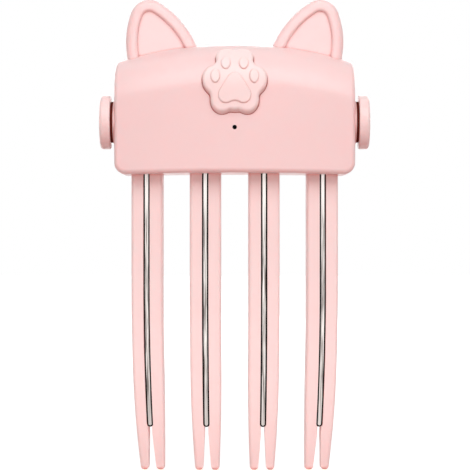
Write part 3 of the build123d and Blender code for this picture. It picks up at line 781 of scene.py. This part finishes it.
@dataclass
class PortContacts:
    """The gold contacts on both faces of the tongue in the charging port."""

    count: int = 12
    pitch: float = 0.5 * MM
    width: float = 0.28 * MM
    stand: float = 0.06 * MM
    length: float = 3.0 * MM
    depth: float = 2.1 * MM
    tongue_half: float = 0.35 * MM
    edge_round: float = 0.02 * MM

    def build(self) -> bpy.types.Object:
        """Model one contact and repeat it along and across the tongue.

        Returns:
            All contacts as one object, riding with the housing.
        """
        low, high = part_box("usb_c_port")
        bpy.ops.object.select_all(action="DESELECT")
        bpy.ops.mesh.primitive_cube_add(
            size=1.0, location=((low[0] + high[0]) / 2, (low[1] + high[1]) / 2, high[2])
        )
        contacts = bpy.context.object
        contacts.name = "port_contacts"
        contacts.data.name = contacts.name
        bpy.ops.object.mode_set(mode="EDIT")
        bpy.ops.mesh.select_all(action="SELECT")
        bpy.ops.transform.resize(value=(self.width, self.stand, self.length))
        bpy.ops.transform.translate(
            value=(
                -(self.count - 1) * self.pitch / 2,
                self.tongue_half + self.stand / 2,
                -self.depth - self.length / 2,
            )
        )
        bpy.ops.object.mode_set(mode="OBJECT")
        soft = contacts.modifiers.new("soft_edge", "BEVEL")
        soft.width = self.edge_round
        soft.segments = SOFT_EDGE_SEGMENTS
        row = contacts.modifiers.new("row", "ARRAY")
        row.use_relative_offset = False
        row.use_constant_offset = True
        row.constant_offset_displace = (self.pitch, 0.0, 0.0)
        row.count = self.count
        both = contacts.modifiers.new("both_faces", "MIRROR")
        both.use_axis = (False, True, False)
        for name in (soft.name, row.name, both.name):
            bpy.ops.object.modifier_apply(modifier=name)
        bpy.ops.object.transform_apply(location=True, rotation=True, scale=True)
        bpy.ops.object.mode_set(mode="EDIT")
        bpy.ops.mesh.select_all(action="SELECT")
        bpy.ops.mesh.normals_make_consistent(inside=False)
        bpy.ops.object.mode_set(mode="OBJECT")
        bpy.ops.object.shade_smooth_by_angle(angle=SMOOTH_ANGLE)
        contacts.data.materials.append(SHELF.get("contact"))
        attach(contacts, "housing")
        LOG.info("%s: %d faces", contacts.name, len(contacts.data.polygons))
        return contacts


@dataclass
class PowerPack:
    """The battery cell, its foam pad and the charging port."""

    contacts: PortContacts = field(default_factory=PortContacts)

    def dress(self) -> None:
        """Give the cell and the port their finishes."""
        SHELF.dress("cell", "battery_cell")
        SHELF.dress("foam", "battery_foam")
        SHELF.dress("port", "usb_c_port")
        SHELF.dress("board", "charge_board")
        self.contacts.build()


@dataclass
class Lamp:
    """One soft lamp."""

    name: str
    place: Vector
    aim: Vector
    width: float
    height: float
    power: float
    spread: float = math.radians(180)

    def build(self) -> bpy.types.Object:
        """Add the lamp, turned towards its aim.

        Returns:
            The lamp, which the camera doesn't see.
        """
        data = bpy.data.lights.new(self.name, "AREA")
        data.shape = "RECTANGLE"
        data.size = self.width
        data.size_y = self.height
        data.energy = self.power
        data.spread = self.spread
        lamp = bpy.data.objects.new(self.name, data)
        bpy.context.scene.collection.objects.link(lamp)
        lamp.location = self.place
        lamp.visible_camera = False
        lamp.rotation_euler = (self.aim - self.place).to_track_quat("-Z", "Y").to_euler()
        return lamp


@dataclass
class Studio:
    """Camera, lamps, floor and plain white surroundings."""

    camera_distance: float = 620 * MM
    camera_height: float = 77.1 * MM
    camera_side: float = 0.1 * MM
    lens: float = 147.1
    sensor_width: float = 36.0
    clip_start: float = 20 * MM
    lamp_aim: tuple[float, float, float] = (0.0, 0.0, 0.1)
    ambient: float = 0.3
    ambient_tint: Rgb = (1.0, 0.92, 0.91)
    floor_near: float = 100 * MM
    floor_far: float = 900 * MM
    floor_span: float = 6.0
    floor_lift: tuple[float, float] = (0.72, 1.0)
    floor_bounce: Rgb = (0.6, 0.38, 0.36)
    floor_paper: Rgb = (0.5, 0.49, 0.485)

    def camera(self) -> None:
        """Add the camera at the photograph's viewing angle."""
        data = bpy.data.cameras.new("camera")
        data.lens = self.lens
        data.sensor_width = self.sensor_width
        data.clip_start = self.clip_start
        camera = bpy.data.objects.new("camera", data)
        bpy.context.scene.collection.objects.link(camera)
        camera.location = (self.camera_side, -self.camera_distance, self.camera_height)
        camera.rotation_euler = (math.radians(90), 0.0, 0.0)
        bpy.context.scene.camera = camera

    def lamps(self) -> None:
        """Add the soft lamps."""
        middle = Vector(self.lamp_aim)
        for lamp in (
            Lamp("key_softbox", Vector((0.06, -0.9, 0.78)), middle, width=1.3, height=0.8, power=9.4),
            Lamp("top_softbox", Vector((0.0, -0.05, 1.3)), middle, width=1.2, height=1.2, power=1.7),
            Lamp("low_strip", Vector((0.0, -0.1, 0.01)), Vector((0.0, 0.01, 0.012)),
                 width=0.16, height=0.014, power=0.0075, spread=math.radians(70)),
            Lamp("ear_strip", Vector((0.0, -0.3, 0.17)), Vector((0.0, 0.0, 0.152)),
                 width=0.1, height=0.008, power=0.0007, spread=math.radians(12)),
            Lamp("left_softbox", Vector((-0.95, -0.8, 0.16)), middle, width=0.6, height=0.9, power=0.9),
            Lamp("front_strip", Vector((0.0, -0.9, 0.07)), Vector((0.0, 0.0, 0.05)),
                 width=0.9, height=0.12, power=0.75),
            Lamp("back_softbox", Vector((0.0, 1.1, 0.45)), middle, width=1.4, height=0.6, power=6.5),
            Lamp("right_softbox", Vector((0.95, -0.8, 0.16)), middle, width=0.6, height=0.9, power=0.9),
        ):
            lamp.build()

    def seen_directly(self, bench: NodeBench) -> bpy.types.NodeSocket:
        """Mask of the rays that see the background itself.

        Args:
            bench: bench of a world or material.

        Returns:
            A socket that is 1 for camera, glossy and transmission rays.
        """
        path = bench.add("ShaderNodeLightPath")
        both = bench.maths("MAXIMUM", path.outputs["Is Camera Ray"], path.outputs["Is Glossy Ray"])
        return bench.maths("MAXIMUM", both, path.outputs["Is Transmission Ray"])

    def world(self) -> None:
        """Set the surroundings: soft light, seen as white."""
        world = bpy.data.worlds.new("studio")
        world.use_nodes = True
        bpy.context.scene.world = world
        bench = NodeBench(world.node_tree)
        soft = bench.feed(
            bench.add("ShaderNodeBackground"), Color=(*self.ambient_tint, 1), Strength=self.ambient
        )
        white = bench.feed(bench.add("ShaderNodeBackground"), Color=(*WHITE, 1), Strength=1.0)
        mixed = bench.add("ShaderNodeMixShader")
        bench.join(self.seen_directly(bench), mixed.inputs[0])
        bench.join(soft.outputs[0], mixed.inputs[1])
        bench.join(white.outputs[0], mixed.inputs[2])
        leave = bench.add("ShaderNodeOutputWorld")
        bench.join(mixed.outputs[0], leave.inputs["Surface"])

    def floor(self) -> None:
        """Add the pale floor that keeps the object's shadow."""
        bpy.ops.object.select_all(action="DESELECT")
        bpy.ops.mesh.primitive_plane_add(size=self.floor_span, location=(0, 0, 0))
        floor = bpy.context.object
        floor.name = "studio_floor"
        material = bpy.data.materials.new("pale_floor")
        material.use_nodes = True
        bench = NodeBench(material.node_tree)
        bounce = bench.feed(bench.add("ShaderNodeBsdfDiffuse"), Color=(*self.floor_bounce, 1))
        paper = bench.feed(bench.add("ShaderNodeBsdfDiffuse"), Color=(*self.floor_paper, 1))
        away = bench.add("ShaderNodeVectorMath", operation="LENGTH")
        bench.join(bench.add("ShaderNodeTexCoord").outputs["Object"], away.inputs[0])
        fading = bench.spread(away.outputs["Value"], *self.floor_lift, self.floor_near, self.floor_far)
        lift = bench.feed(bench.add("ShaderNodeEmission"), Color=(*WHITE, 1), Strength=fading)
        both = bench.add("ShaderNodeAddShader")
        bench.join(paper.outputs[0], both.inputs[0])
        bench.join(lift.outputs[0], both.inputs[1])
        mixed = bench.add("ShaderNodeMixShader")
        bench.join(self.seen_directly(bench), mixed.inputs[0])
        bench.join(bounce.outputs[0], mixed.inputs[1])
        bench.join(both.outputs[0], mixed.inputs[2])
        leave = bench.add("ShaderNodeOutputMaterial")
        bench.join(mixed.outputs[0], leave.inputs["Surface"])
        floor.data.materials.append(material)

    def build(self) -> None:
        """Set up the whole studio."""
        self.camera()
        self.lamps()
        self.world()
        self.floor()
        bpy.context.scene.view_settings.view_transform = "Standard"


def main() -> None:
    """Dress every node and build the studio."""
    logging.basicConfig(level=logging.INFO, format="%(name)s %(message)s")
    for assembly in (Housing(), PawSwitch(), Teeth(), HeatTrain(), EndKnobs(), PowerPack()):
        assembly.dress()
    Studio().build()


if __name__ == "__main__":
    main()
